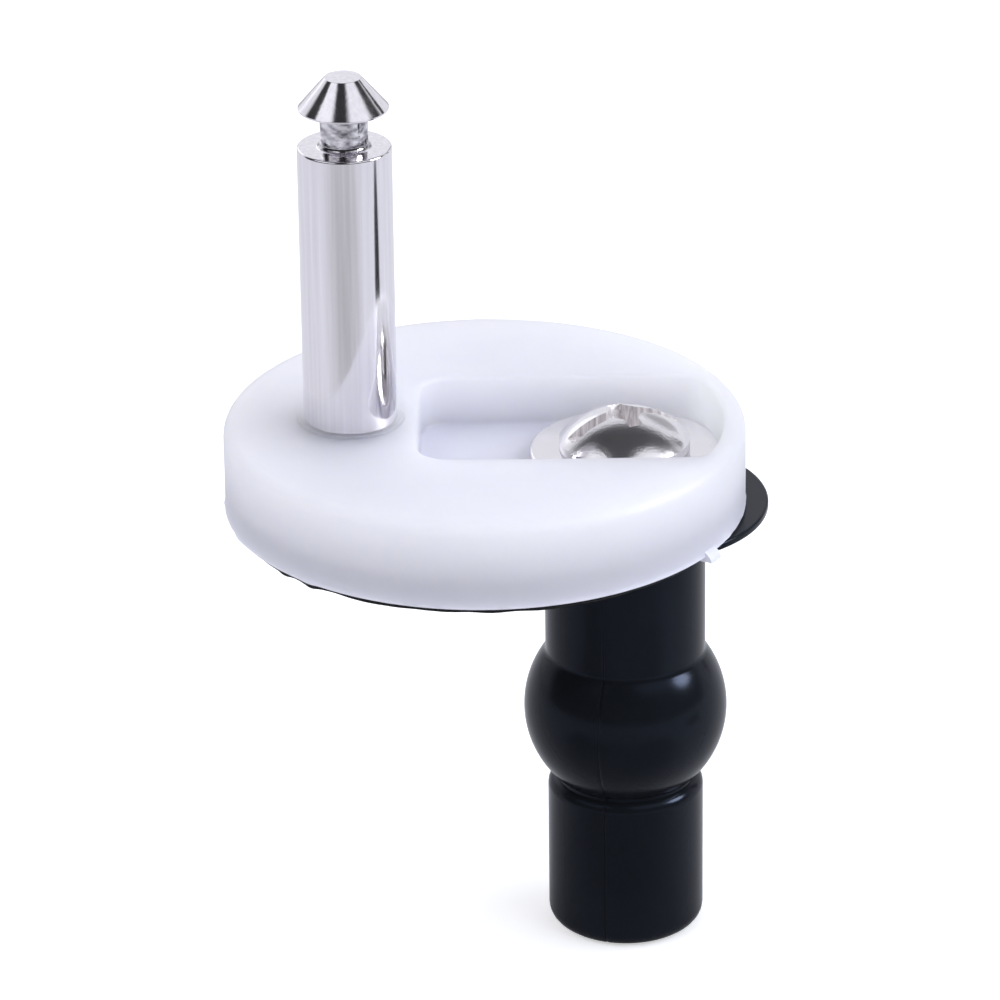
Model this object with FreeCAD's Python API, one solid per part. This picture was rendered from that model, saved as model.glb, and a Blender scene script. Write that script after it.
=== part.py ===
import FreeCAD, Part
import math
import os

# Top-fixing hinge for a toilet seat, in millimetres.
# The origin is on the plug's axis at the underside of its flange, which lies on the pan's deck.
# +Z points up along the hinge pin, and the pin stands on the -X side of the plug.

# Base disc
DISC_DIAMETER = 48.5
DISC_THICKNESS = 7.8
DISC_EDGE_RADIUS = 1.3
DISC_SKIRT = 0.45
POCKET_FLOOR = 2.9
POCKET_WALL = 2.05
POCKET_CORNER_RADIUS = 3.0
POCKET_END_RADIUS = 2.0
POCKET_LIP_RADIUS = 0.5
PIN_LAND = 1.95
BOSS_LIP = 0.6
BOSS_HEIGHT = 0.25

# Gasket glued under the disc, inside its skirt
GASKET_INSET = 0.65
GASKET_THICKNESS = 0.7

# Hinge pin
PIN_DIAMETER = 8.7
PIN_OFFSET = 12.4
PIN_SHOULDER_HEIGHT = 27.1
PIN_EDGE_CHAMFER = 0.25
PIN_NECK_DIAMETER = 4.4
PIN_NECK_LENGTH = 3.6
PIN_HEAD_DIAMETER = 8.3
PIN_HEAD_RIM = 0.25
PIN_HEAD_CONE = 2.8
PIN_TIP_DIAMETER = 3.45
PIN_SPIGOT_DIAMETER = 6.0
PIN_FOOT_LIP = 1.6
PIN_FOOT_THICKNESS = 2.0

# Fixing screw, M6 pan head with a combined slot and cross recess
SCREW_DIAMETER = 5.9
SCREW_LENGTH = 45.0
SCREW_POINT_CHAMFER = 0.8
HEAD_DIAMETER = 12.2
HEAD_RIM = 1.0
HEAD_DOME = 2.7
DRIVE_ANGLE = 22.5
DRIVE_WIDTH = 1.4
SLOT_DEPTH = 2.1
CROSS_SPAN = 6.0
CROSS_WELL = 3.4
CROSS_ROOT = 2.2
CROSS_DEPTH = 2.8

# Washer under the screw's head
WASHER_DIAMETER = 17.8
WASHER_THICKNESS = 1.6
WASHER_EDGE_CHAMFER = 0.3

# Expansion plug
FLANGE_DIAMETER = 26.8
FLANGE_THICKNESS = 0.7
FLANGE_EDGE_CHAMFER = 0.2
PLUG_NECK_DIAMETER = 15.1
PLUG_NECK_LENGTH = 14.7
NECK_ROOT_RADIUS = 1.0
BALL_SWELL = 2.05
FOOT_WALL = 1.55
GROOVE_DEPTH = 0.75
GROOVE_WIDTH = 0.3
FOOT_SHOULDER_RADIUS = 1.2
FOOT_END_RADIUS = 1.5
FOOT_END_COVER = 4.1

# Nut in the plug's foot, M6
NUT_ACROSS_FLATS = 10.0
NUT_HEIGHT = 5.0
SCREW_PROUD_OF_NUT = 1.6

# Play between the pieces
SHIFT_TRAVEL = 5.5
WASHER_END_GAP = 0.3
WASHER_SIDE_GAP = 0.45
SLOT_GAP = 0.45
GASKET_SLOT_GAP = 0.3
GASKET_RIM_GAP = 0.1
PIN_GAP = 0.05
THREAD_GAP = 0.05
WASHER_BORE_GAP = 0.25
PLUG_BORE_GAP = 0.35
NUT_POCKET_GAP = 0.05

# Heights, from the deck up and down
GASKET_BOTTOM_Z = FLANGE_THICKNESS
DISC_BOTTOM_Z = GASKET_BOTTOM_Z + GASKET_THICKNESS
DISC_TOP_Z = DISC_BOTTOM_Z + DISC_THICKNESS
BOSS_TOP_Z = DISC_TOP_Z + BOSS_HEIGHT
FLOOR_Z = DISC_BOTTOM_Z + POCKET_FLOOR
WASHER_TOP_Z = FLOOR_Z + WASHER_THICKNESS
HEAD_TOP_Z = WASHER_TOP_Z + HEAD_RIM + HEAD_DOME
SCREW_TIP_Z = WASHER_TOP_Z - SCREW_LENGTH
NUT_BOTTOM_Z = SCREW_TIP_Z + SCREW_PROUD_OF_NUT
PLUG_BOTTOM_Z = SCREW_TIP_Z - FOOT_END_COVER

# Places along X
POCKET_RADIUS = DISC_DIAMETER / 2 - POCKET_WALL
SCREW_OFFSET = POCKET_RADIUS - WASHER_END_GAP - WASHER_DIAMETER / 2
DISC_X = -SCREW_OFFSET
PIN_X = DISC_X - PIN_OFFSET
POCKET_LEFT_X = PIN_X + PIN_DIAMETER / 2 + PIN_LAND
POCKET_HALF_WIDTH = WASHER_DIAMETER / 2 + WASHER_SIDE_GAP

# Rounds that share the wall between the pocket and the rim leave part of it flat
ROUNDED_SHARE = 0.8
RIM_RADIUS = min(DISC_EDGE_RADIUS, ROUNDED_SHARE * POCKET_WALL)
LIP_RADIUS = min(POCKET_LIP_RADIUS, ROUNDED_SHARE * (POCKET_WALL - RIM_RADIUS))

UP = FreeCAD.Vector(0, 0, 1)


def point(x, y, z):
    return FreeCAD.Vector(x, y, z)


def line(start, end):
    return Part.makeLine(start, end)


def arc(start, middle, end):
    return Part.Arc(start, middle, end).toShape()


def arc_about(centre, radius, start, end):
    """Arc round a centre, between two points on it, through the point half-way between their directions."""
    toward = (start - centre).normalize() + (end - centre).normalize()
    middle = centre + toward.normalize() * radius
    return arc(start, middle, end)


def chain(corners):
    """Straight edges from each corner to the next."""
    return [line(a, b) for a, b in zip(corners, corners[1:])]


def face_of(edges):
    return Part.Face(Part.Wire(edges))


def turned(edges):
    """Solid turned about the Z axis from a closed profile in the XZ plane."""
    return face_of(edges).revolve(point(0, 0, 0), UP, 360)


def cylinder(diameter, bottom, top, x=0.0):
    return Part.makeCylinder(diameter / 2, top - bottom, point(x, 0, bottom), UP)


def slot(width, bottom, top):
    """Round-ended slot in the base along X, long enough for the base to shift on the screw."""
    half = width / 2
    left = SHIFT_TRAVEL
    corners = [
        point(-left, -half, bottom),
        point(0, -half, bottom),
        point(0, half, bottom),
        point(-left, half, bottom),
    ]
    edges = [
        line(corners[0], corners[1]),
        arc(corners[1], point(half, 0, bottom), corners[2]),
        line(corners[2], corners[3]),
        arc(corners[3], point(-left - half, 0, bottom), corners[0]),
    ]
    return face_of(edges).extrude(UP * (top - bottom))


def pocket():
    """D-shaped pocket: square towards the pin, and following the disc's rim at the far end."""
    z = FLOOR_Z
    half = POCKET_HALF_WIDTH
    corner = POCKET_CORNER_RADIUS
    end = POCKET_END_RADIUS
    centre = point(DISC_X, 0, z)
    end_x = DISC_X + math.sqrt((POCKET_RADIUS - end) ** 2 - (half - end) ** 2)

    front_left = point(POCKET_LEFT_X + corner, corner - half, z)
    back_left = point(POCKET_LEFT_X + corner, half - corner, z)
    front_right = point(end_x, end - half, z)
    back_right = point(end_x, half - end, z)
    rim_front = centre + (front_right - centre).normalize() * POCKET_RADIUS
    rim_back = centre + (back_right - centre).normalize() * POCKET_RADIUS

    lip_start = point(front_left.x, -half, z)
    lip_end = point(end_x, -half, z)
    back_start = point(end_x, half, z)
    back_end = point(back_left.x, half, z)
    left_back = point(POCKET_LEFT_X, back_left.y, z)
    left_front = point(POCKET_LEFT_X, front_left.y, z)
    edges = [
        line(lip_start, lip_end),
        arc_about(front_right, end, lip_end, rim_front),
        arc_about(centre, POCKET_RADIUS, rim_front, rim_back),
        arc_about(back_right, end, rim_back, back_start),
        line(back_start, back_end),
        arc_about(back_left, corner, back_end, left_back),
        line(left_back, left_front),
        arc_about(front_left, corner, left_front, lip_start),
    ]
    return face_of(edges).extrude(UP * (DISC_TOP_Z - FLOOR_Z))


def soften_pocket_lip(disc):
    """Rounds the pocket's upper edge, which lies in the disc's top face inside the rim."""
    inside = DISC_DIAMETER / 2 - POCKET_WALL / 2
    lip = []
    for edge in disc.Edges:
        box = edge.BoundBox
        flat_on_top = abs(box.ZMin - DISC_TOP_Z) < 1e-6 and abs(box.ZMax - DISC_TOP_Z) < 1e-6
        reach = max((v.Point - point(DISC_X, 0, DISC_TOP_Z)).Length for v in edge.Vertexes)
        round_pin = box.XMax < POCKET_LEFT_X
        if flat_on_top and reach < inside and not round_pin:
            lip.append(edge)
    return disc.makeFillet(LIP_RADIUS, lip)


def base_disc():
    """Moulded disc: skirt round the gasket, pocket, slot for the screw, and stepped hole for the pin."""
    radius = DISC_DIAMETER / 2
    edge = RIM_RADIUS
    centre = point(radius - edge, 0, DISC_TOP_Z - edge)
    rim_top = point(radius, 0, DISC_TOP_Z - edge)
    face_edge = point(radius - edge, 0, DISC_TOP_Z)
    axis_top = point(0, 0, DISC_TOP_Z)
    axis_bottom = point(0, 0, DISC_BOTTOM_Z)
    seat = radius - GASKET_INSET + GASKET_RIM_GAP
    seat_edge = point(seat, 0, DISC_BOTTOM_Z)
    skirt_inside = point(seat, 0, DISC_BOTTOM_Z - DISC_SKIRT)
    skirt_outside = point(radius, 0, DISC_BOTTOM_Z - DISC_SKIRT)
    profile = chain([axis_top, axis_bottom, seat_edge, skirt_inside, skirt_outside, rim_top])
    profile.append(arc_about(centre, edge, rim_top, face_edge))
    profile.append(line(face_edge, axis_top))
    disc = turned(profile)
    disc.translate(point(DISC_X, 0, 0))

    disc = soften_pocket_lip(disc.cut(pocket()))
    boss = cylinder(PIN_DIAMETER + 2 * BOSS_LIP, DISC_TOP_Z, BOSS_TOP_Z, PIN_X)
    hole_diameter = PIN_SPIGOT_DIAMETER + 2 * PIN_GAP
    pin_hole = cylinder(hole_diameter, DISC_BOTTOM_Z, BOSS_TOP_Z, PIN_X)
    foot_top = DISC_BOTTOM_Z + PIN_FOOT_THICKNESS
    foot_seat = cylinder(hole_diameter + 2 * PIN_FOOT_LIP, DISC_BOTTOM_Z, foot_top, PIN_X)
    screw_slot = slot(SCREW_DIAMETER + 2 * SLOT_GAP, DISC_BOTTOM_Z, FLOOR_Z)
    return disc.fuse(boss).cut(pin_hole).cut(foot_seat).cut(screw_slot).removeSplitter()


def base_gasket():
    """Thin pad under the disc, open only at the screw's slot, so that it covers the pin's foot."""
    pad = cylinder(DISC_DIAMETER - 2 * GASKET_INSET, GASKET_BOTTOM_Z, DISC_BOTTOM_Z, DISC_X)
    width = SCREW_DIAMETER + 2 * SLOT_GAP + 2 * GASKET_SLOT_GAP
    return pad.cut(slot(width, GASKET_BOTTOM_Z, DISC_BOTTOM_Z))


def hinge_pin():
    """Turned pin: peened foot and spigot in the disc, plain journal, neck and conical snap head."""
    radius = PIN_DIAMETER / 2
    spigot = PIN_SPIGOT_DIAMETER / 2
    foot = spigot + PIN_FOOT_LIP
    foot_top = DISC_BOTTOM_Z + PIN_FOOT_THICKNESS
    shoulder = DISC_TOP_Z + PIN_SHOULDER_HEIGHT
    neck_top = shoulder + PIN_NECK_LENGTH
    rim_top = neck_top + PIN_HEAD_RIM
    tip = rim_top + PIN_HEAD_CONE
    corners = [
        point(0, 0, DISC_BOTTOM_Z),
        point(foot, 0, DISC_BOTTOM_Z),
        point(foot, 0, foot_top),
        point(spigot, 0, foot_top),
        point(spigot, 0, BOSS_TOP_Z),
        point(radius, 0, BOSS_TOP_Z),
        point(radius, 0, shoulder - PIN_EDGE_CHAMFER),
        point(radius - PIN_EDGE_CHAMFER, 0, shoulder),
        point(PIN_NECK_DIAMETER / 2, 0, shoulder),
        point(PIN_NECK_DIAMETER / 2, 0, neck_top),
        point(PIN_HEAD_DIAMETER / 2, 0, neck_top),
        point(PIN_HEAD_DIAMETER / 2, 0, rim_top),
        point(PIN_TIP_DIAMETER / 2, 0, tip),
        point(0, 0, tip),
        point(0, 0, DISC_BOTTOM_Z),
    ]
    pin = turned(chain(corners))
    pin.translate(point(PIN_X, 0, 0))
    return pin


def drive_wing():
    """One bar of the cross recess: long at the mouth, short at the root, as wide as the driver's blade."""
    mouth_z = HEAD_TOP_Z
    root_z = HEAD_TOP_Z - CROSS_DEPTH
    corners = [
        point(-CROSS_SPAN / 2, 0, mouth_z),
        point(-CROSS_ROOT / 2, 0, root_z),
        point(CROSS_ROOT / 2, 0, root_z),
        point(CROSS_SPAN / 2, 0, mouth_z),
        point(-CROSS_SPAN / 2, 0, mouth_z),
    ]
    wing = face_of(chain(corners)).extrude(point(0, DRIVE_WIDTH, 0))
    wing.translate(point(0, -DRIVE_WIDTH / 2, 0))
    return wing


def drive_recess():
    """Straight slot across the head, with the cross recess and its tapered well sunk in its middle."""
    blade = Part.makeBox(HEAD_DIAMETER, DRIVE_WIDTH, SLOT_DEPTH)
    blade.translate(point(-HEAD_DIAMETER / 2, -DRIVE_WIDTH / 2, HEAD_TOP_Z - SLOT_DEPTH))
    along = drive_wing()
    across = drive_wing()
    across.rotate(point(0, 0, 0), UP, 90)
    root = point(0, 0, HEAD_TOP_Z - CROSS_DEPTH)
    well = Part.makeCone(CROSS_ROOT / 2, CROSS_WELL / 2, CROSS_DEPTH, root, UP)
    recess = blade.fuse([along, across, well])
    recess.rotate(point(0, 0, 0), UP, DRIVE_ANGLE)
    return recess


def fixing_screw():
    """Pan-head screw: the shank's outside is the thread's crest."""
    shank = SCREW_DIAMETER / 2
    head = HEAD_DIAMETER / 2
    dome_z = WASHER_TOP_Z + HEAD_RIM
    apex = point(0, 0, HEAD_TOP_Z)
    rim_top = point(head, 0, dome_z)
    dome_radius = (head**2 + HEAD_DOME**2) / (2 * HEAD_DOME)
    dome_centre = point(0, 0, HEAD_TOP_Z - dome_radius)
    corners = [
        apex,
        point(0, 0, SCREW_TIP_Z),
        point(shank - SCREW_POINT_CHAMFER, 0, SCREW_TIP_Z),
        point(shank, 0, SCREW_TIP_Z + SCREW_POINT_CHAMFER),
        point(shank, 0, WASHER_TOP_Z),
        point(head, 0, WASHER_TOP_Z),
        rim_top,
    ]
    profile = chain(corners)
    profile.append(arc_about(dome_centre, dome_radius, rim_top, apex))
    return turned(profile).cut(drive_recess())


def flat_washer():
    """Punched washer with its upper edge broken."""
    edge = WASHER_EDGE_CHAMFER
    outer = WASHER_DIAMETER / 2
    bore = SCREW_DIAMETER / 2 + WASHER_BORE_GAP
    corners = [
        point(bore, 0, WASHER_TOP_Z),
        point(bore, 0, FLOOR_Z),
        point(outer, 0, FLOOR_Z),
        point(outer, 0, WASHER_TOP_Z - edge),
        point(outer - edge, 0, WASHER_TOP_Z),
        point(bore, 0, WASHER_TOP_Z),
    ]
    return turned(chain(corners))


def hexagon(across_flats, bottom, top):
    """Upright hexagonal prism on the plug's axis."""
    corner = across_flats / math.sqrt(3)
    angles = [math.radians(60 * step) for step in range(7)]
    corners = [point(corner * math.cos(a), corner * math.sin(a), bottom) for a in angles]
    return face_of(chain(corners)).extrude(UP * (top - bottom))


def expansion_plug():
    """Rubber plug turned about its axis: flange, neck, ball, groove, and foot with the nut's pocket."""
    flange = FLANGE_DIAMETER / 2
    lip = FLANGE_EDGE_CHAMFER
    neck = PLUG_NECK_DIAMETER / 2
    ball = neck + BALL_SWELL
    foot = NUT_ACROSS_FLATS / math.sqrt(3) + NUT_POCKET_GAP + FOOT_WALL
    groove = foot - GROOVE_DEPTH
    bore = SCREW_DIAMETER / 2 + PLUG_BORE_GAP

    ball_top_z = -PLUG_NECK_LENGTH
    ball_z = ball_top_z - math.sqrt(ball**2 - neck**2)
    groove_z = ball_z - math.sqrt(ball**2 - groove**2)
    foot_top_z = groove_z - GROOVE_WIDTH
    shoulder = FOOT_SHOULDER_RADIUS
    shoulder_z = foot_top_z - math.sqrt(2 * shoulder * GROOVE_DEPTH - GROOVE_DEPTH**2)
    end = FOOT_END_RADIUS

    bore_top = point(bore, 0, FLANGE_THICKNESS)
    flange_face = point(flange - lip, 0, FLANGE_THICKNESS)
    flange_rim = point(flange, 0, FLANGE_THICKNESS - lip)
    flange_under = point(flange, 0, 0)
    neck_start = point(neck, 0, 0)
    root = NECK_ROOT_RADIUS
    root_centre = point(neck + root, 0, ball_z + math.sqrt((ball + root) ** 2 - (neck + root) ** 2))
    neck_end = point(neck, 0, root_centre.z)
    ball_centre = point(0, 0, ball_z)
    ball_start = ball_centre + (root_centre - ball_centre).normalize() * ball
    ball_end = point(groove, 0, groove_z)
    shoulder_start = point(groove, 0, foot_top_z)
    shoulder_end = point(foot, 0, shoulder_z)
    end_start = point(foot, 0, PLUG_BOTTOM_Z + end)
    end_face = point(foot - end, 0, PLUG_BOTTOM_Z)
    profile = chain([bore_top, flange_face, flange_rim, flange_under, neck_start, neck_end])
    profile += [
        arc_about(root_centre, root, neck_end, ball_start),
        arc_about(ball_centre, ball, ball_start, ball_end),
        line(ball_end, shoulder_start),
        arc_about(point(foot - shoulder, 0, shoulder_z), shoulder, shoulder_start, shoulder_end),
        line(shoulder_end, end_start),
        arc_about(point(foot - end, 0, PLUG_BOTTOM_Z + end), end, end_start, end_face),
    ]
    profile += chain([end_face, point(bore, 0, PLUG_BOTTOM_Z), bore_top])
    gap = NUT_POCKET_GAP
    nut_top_z = NUT_BOTTOM_Z + NUT_HEIGHT
    nut_pocket = hexagon(NUT_ACROSS_FLATS + 2 * gap, NUT_BOTTOM_Z - gap, nut_top_z + gap)
    return turned(profile).cut(nut_pocket)


def plug_nut():
    """Hexagon nut with its corners chamfered top and bottom."""
    top = NUT_BOTTOM_Z + NUT_HEIGHT
    flat = NUT_ACROSS_FLATS / 2
    corner = NUT_ACROSS_FLATS / math.sqrt(3)
    slope = (corner - flat) * math.tan(math.radians(30))
    profile = chain(
        [
            point(0, 0, NUT_BOTTOM_Z),
            point(flat, 0, NUT_BOTTOM_Z),
            point(corner, 0, NUT_BOTTOM_Z + slope),
            point(corner, 0, top - slope),
            point(flat, 0, top),
            point(0, 0, top),
            point(0, 0, NUT_BOTTOM_Z),
        ]
    )
    blank = hexagon(NUT_ACROSS_FLATS, NUT_BOTTOM_Z, top).common(turned(profile))
    return blank.cut(cylinder(SCREW_DIAMETER + 2 * THREAD_GAP, NUT_BOTTOM_Z, top))


PIECES = {
    "base_disc": base_disc,
    "base_gasket": base_gasket,
    "hinge_pin": hinge_pin,
    "fixing_screw": fixing_screw,
    "flat_washer": flat_washer,
    "expansion_plug": expansion_plug,
    "plug_nut": plug_nut,
}

os.makedirs("parts", exist_ok=True)
for name, make in PIECES.items():
    make().exportStep("parts/" + name + ".step")
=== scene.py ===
import math

import bmesh
import bpy
from mathutils import Matrix, Vector, noise


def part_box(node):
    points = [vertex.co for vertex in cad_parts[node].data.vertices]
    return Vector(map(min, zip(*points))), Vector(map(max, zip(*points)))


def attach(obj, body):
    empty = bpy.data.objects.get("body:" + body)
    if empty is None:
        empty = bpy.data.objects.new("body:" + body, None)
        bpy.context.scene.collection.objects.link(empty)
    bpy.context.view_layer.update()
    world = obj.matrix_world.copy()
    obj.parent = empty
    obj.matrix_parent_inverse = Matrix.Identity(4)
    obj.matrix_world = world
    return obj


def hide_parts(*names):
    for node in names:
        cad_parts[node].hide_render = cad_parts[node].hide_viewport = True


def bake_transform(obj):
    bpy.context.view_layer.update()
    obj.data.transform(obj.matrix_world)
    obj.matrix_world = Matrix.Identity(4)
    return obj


# Top-fixing toilet seat hinge, dressed for the camera.
# Sizes below are in millimetres, and MM turns them into metres.
MM = 0.001
UP = Vector((0, 0, 1))
ACROSS = Vector((0, 1, 0))

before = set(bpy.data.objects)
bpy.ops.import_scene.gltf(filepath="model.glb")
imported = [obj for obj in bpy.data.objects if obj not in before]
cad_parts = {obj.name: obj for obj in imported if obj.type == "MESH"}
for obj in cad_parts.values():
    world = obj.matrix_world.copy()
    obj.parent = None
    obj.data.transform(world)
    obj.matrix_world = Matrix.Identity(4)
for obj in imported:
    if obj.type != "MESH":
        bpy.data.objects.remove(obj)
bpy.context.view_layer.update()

# Fineness of the meshes
TURN_STEPS = 192
ARC_ANGLE = 15.0
ARC_CHORD = 0.4 * MM
WELD = 0.002 * MM
LEVEL = 0.001 * MM
SHARP_ANGLE = 40.0

# Base disc
RIM_ROUND = 1.3 * MM
LIP_ROUND = 0.5 * MM
FLOOR_ROUND = 0.35 * MM
ROUND_STEPS = 6
BOSS_RADIUS = 4.95 * MM
BOSS_HEIGHT = 0.25 * MM
BOSS_ROUND = 0.1 * MM
BOSS_FOOT = 0.15 * MM
POCKET_DEPTH = 4.9 * MM
POCKET_WALL = 2.05 * MM
POCKET_CORNER = 3.0 * MM
POCKET_END = 2.0 * MM
POCKET_HALF_WIDTH = 9.35 * MM
PIN_LAND = 1.95 * MM
SLOT_RADIUS = 3.4 * MM
SLOT_TRAVEL = 5.5 * MM
SEAT_GAP = 0.1 * MM
RIM_STEPS = 480
FLASH_HEIGHT = 0.4 * MM
FLASH_PROUD = 0.05 * MM
FLASH_GRAIN = 1.1 * MM
BURRS = (180.0, -158.5, -131.4)
BURR_PROUD = 0.08 * MM
BURR_SPREAD = 2.5
GATE_ANGLE = -32.6
GATE_SIZE = (1.2 * MM, 1.7 * MM, 0.95 * MM)
GATE_PROUD = 0.75 * MM
GATE_DROP = 0.45 * MM
GATE_SEED = 7
GATE_CUTS = 5
GATE_GRAIN = 0.5 * MM
GATE_RAG = 0.07 * MM

# Pad under the disc
PAD_EDGE = 1.2 * MM
PAD_SLOT_GAP = 0.3 * MM
PAD_SAG = 0.3 * MM
PAD_GRAIN = 2.5 * MM
PAD_BULGES = (-140.6, -132.0)
PAD_BULGE = 0.18 * MM
PAD_BULGE_SPREAD = 2.2

# Hinge pin
PIN_RADIUS = 4.35 * MM
PIN_HOLE = 3.05 * MM
PIN_SPIGOT = 3.0 * MM
PIN_FOOT_HEIGHT = 2.0 * MM
PIN_EDGE = 0.22 * MM
PIN_NECK = 2.2 * MM
PIN_NECK_LENGTH = 3.6 * MM
PIN_HEAD = 4.15 * MM
PIN_HEAD_RIM = 0.25 * MM
PIN_HEAD_CONE = 2.8 * MM
PIN_TIP = 1.725 * MM
PIN_CONE_TURN = 49
PIN_FINE_ROUND = 0.06 * MM
PIN_NECK_ROUND = 0.5 * MM

# Fixing screw
HEAD_RIM = 1.0 * MM
HEAD_DOME = 2.7 * MM
HEAD_EDGE = 0.25 * MM
THREAD_PITCH = 1.0 * MM
THREAD_DEPTH = 0.55 * MM
THREAD_STEPS = 24
THREAD_HALF_FOOT = 0.42 * THREAD_PITCH
THREAD_HALF_CREST = 0.08 * THREAD_PITCH
THREAD_SUNK = 0.05 * MM
SHANK_RADIUS = 2.95 * MM
SHANK_POINT = 0.8 * MM
DRIVE_ANGLE = 22.5
DRIVE_WIDTH = 1.4 * MM
SLOT_DEPTH = 2.1 * MM
DRIVE_BURR = 0.12 * MM
CROSS_SPAN = 6.0 * MM
CROSS_WELL = 3.4 * MM
CROSS_ROOT = 2.2 * MM
CROSS_FACETS = 8
CROSS_DEPTH = 2.8 * MM
WING_ROOT_WIDTH = 0.8 * DRIVE_WIDTH
WING_TOP_WIDTH = 1.02 * DRIVE_WIDTH
WING_LIFT = 0.02 * CROSS_DEPTH
WORN_SEGMENTS = 2

# Washer
WASHER_BORE = 3.2 * MM
WASHER_EDGE = 0.35 * MM

# Expansion plug
PLUG_BORE = 3.3 * MM
PLUG_NECK = 7.55 * MM
PLUG_NECK_LENGTH = 14.7 * MM
PLUG_NECK_ROOT = 1.0 * MM
PLUG_BALL = 9.6 * MM
PLUG_FOOT = 7.3735 * MM
PLUG_GROOVE = 6.6235 * MM
PLUG_GROOVE_WIDTH = 0.3 * MM
PLUG_SHOULDER = 1.2 * MM
PLUG_END = 1.5 * MM
FLANGE_EDGE = 0.2 * MM
FLANGE_ROOT = 0.5 * MM
NUT_POCKET = 5.83 * MM
NUT_GAP = 0.05 * MM
SEAM_ANGLE = -107.0
SEAM_DEPTH = 0.1 * MM
PLUG_STEPS = 360

# Places read from the frame
disc_low, disc_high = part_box("base_disc")
gasket_low, gasket_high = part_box("base_gasket")
pin_low, pin_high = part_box("hinge_pin")
screw_low, screw_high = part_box("fixing_screw")
washer_low, washer_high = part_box("flat_washer")
plug_low, plug_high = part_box("expansion_plug")
nut_low, nut_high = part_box("plug_nut")
disc_x = (disc_low.x + disc_high.x) / 2
disc_radius = (disc_high.x - disc_low.x) / 2
under_z = gasket_high.z
skirt_z = disc_low.z
boss_top = disc_high.z
disc_top = boss_top - BOSS_HEIGHT
floor_z = disc_top - POCKET_DEPTH
pin_x = (pin_low.x + pin_high.x) / 2
pin_foot = (pin_high.x - pin_low.x) / 2
neck_top = pin_high.z - PIN_HEAD_CONE - PIN_HEAD_RIM
shoulder_z = neck_top - PIN_NECK_LENGTH
pad_radius = (gasket_high.x - gasket_low.x) / 2
head_radius = (screw_high.x - screw_low.x) / 2
head_top = washer_high.z + HEAD_RIM + HEAD_DOME


# Drawing and turning

def draw_line(bm, tip, place):
    """Runs the pen straight to a place."""
    end = bmesh.ops.extrude_vert_indiv(bm, verts=[tip])["verts"][0]
    end.co = place
    return end


def draw_arc(bm, tip, centre, axis, degrees):
    """Runs the pen round a centre."""
    angle = math.radians(degrees)
    length = abs(angle) * (tip.co - Vector(centre)).length
    steps = max(math.ceil(abs(degrees) / ARC_ANGLE), math.ceil(length / ARC_CHORD))
    made = bmesh.ops.spin(bm, geom=[tip], cent=centre, axis=axis, angle=angle, steps=steps)
    return next(part for part in made["geom_last"] if isinstance(part, bmesh.types.BMVert))


def turn(bm, start, runs, x=0.0, steps=TURN_STEPS):
    """Turns a profile about an upright axis.

    A run of two numbers goes straight to a radius and a height. A run of three goes round a centre,
    given by its radius and height, through an angle that is positive clockwise."""
    before = set(bm.verts)
    tip = bm.verts.new((start[0], 0, start[1]))
    for run in runs:
        if len(run) == 2:
            tip = draw_line(bm, tip, (run[0], 0, run[1]))
        else:
            tip = draw_arc(bm, tip, (run[0], 0, run[1]), ACROSS, run[2])
    drawn = [v for v in bm.verts if v not in before]
    edges = list(dict.fromkeys(e for v in drawn for e in v.link_edges))
    bmesh.ops.spin(
        bm, geom=drawn + edges, cent=(0, 0, 0), axis=UP, angle=math.tau, steps=steps, use_merge=True
    )
    made = [v for v in bm.verts if v not in before]
    bmesh.ops.translate(bm, verts=made, vec=(x, 0, 0))
    bmesh.ops.remove_doubles(bm, verts=made, dist=WELD)


def edges_at(bm, height):
    """Open edges that lie in one level plane."""
    return [
        e for e in bm.edges
        if len(e.link_faces) < 2 and all(abs(v.co.z - height) < LEVEL for v in e.verts)
    ]


def fill_level(bm, height):
    """Closes the flat face between the open loops of one level."""
    bmesh.ops.triangle_fill(bm, use_beauty=True, use_dissolve=False, edges=edges_at(bm, height))


def new_piece(name, bm, material):
    """Makes a piece from a bmesh, with smooth shading between its sharp edges."""
    bmesh.ops.remove_doubles(bm, verts=bm.verts, dist=WELD)
    bmesh.ops.recalc_face_normals(bm, faces=bm.faces)
    mesh = bpy.data.meshes.new(name)
    bm.to_mesh(mesh)
    bm.free()
    mesh.shade_smooth()
    mesh.set_sharp_from_angle(angle=math.radians(SHARP_ANGLE))
    mesh.materials.append(material)
    piece = bpy.data.objects.new(name, mesh)
    bpy.context.scene.collection.objects.link(piece)
    evened = piece.modifiers.new("even_normals", "WEIGHTED_NORMAL")
    evened.keep_sharp = True
    return piece


# Materials

def linear(colour):
    """Linear RGBA of an sRGB hex value."""
    parts = [int(colour[i:i + 2], 16) / 255 for i in (1, 3, 5)]
    return [((c + 0.055) / 1.055) ** 2.4 if c > 0.04045 else c / 12.92 for c in parts] + [1.0]


def add(tree, kind, inputs=None, **settings):
    """Adds a node with its settings, and sets or links its inputs."""
    node = tree.nodes.new(kind)
    for name, value in settings.items():
        setattr(node, name, value)
    for name, value in (inputs or {}).items():
        if isinstance(value, bpy.types.NodeSocket):
            tree.links.new(value, node.inputs[name])
        else:
            node.inputs[name].default_value = value
    return node


def new_material(name):
    """An empty material and its node tree."""
    material = bpy.data.materials.new(name)
    material.use_nodes = True
    tree = material.node_tree
    tree.nodes.clear()
    return material, tree


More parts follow.
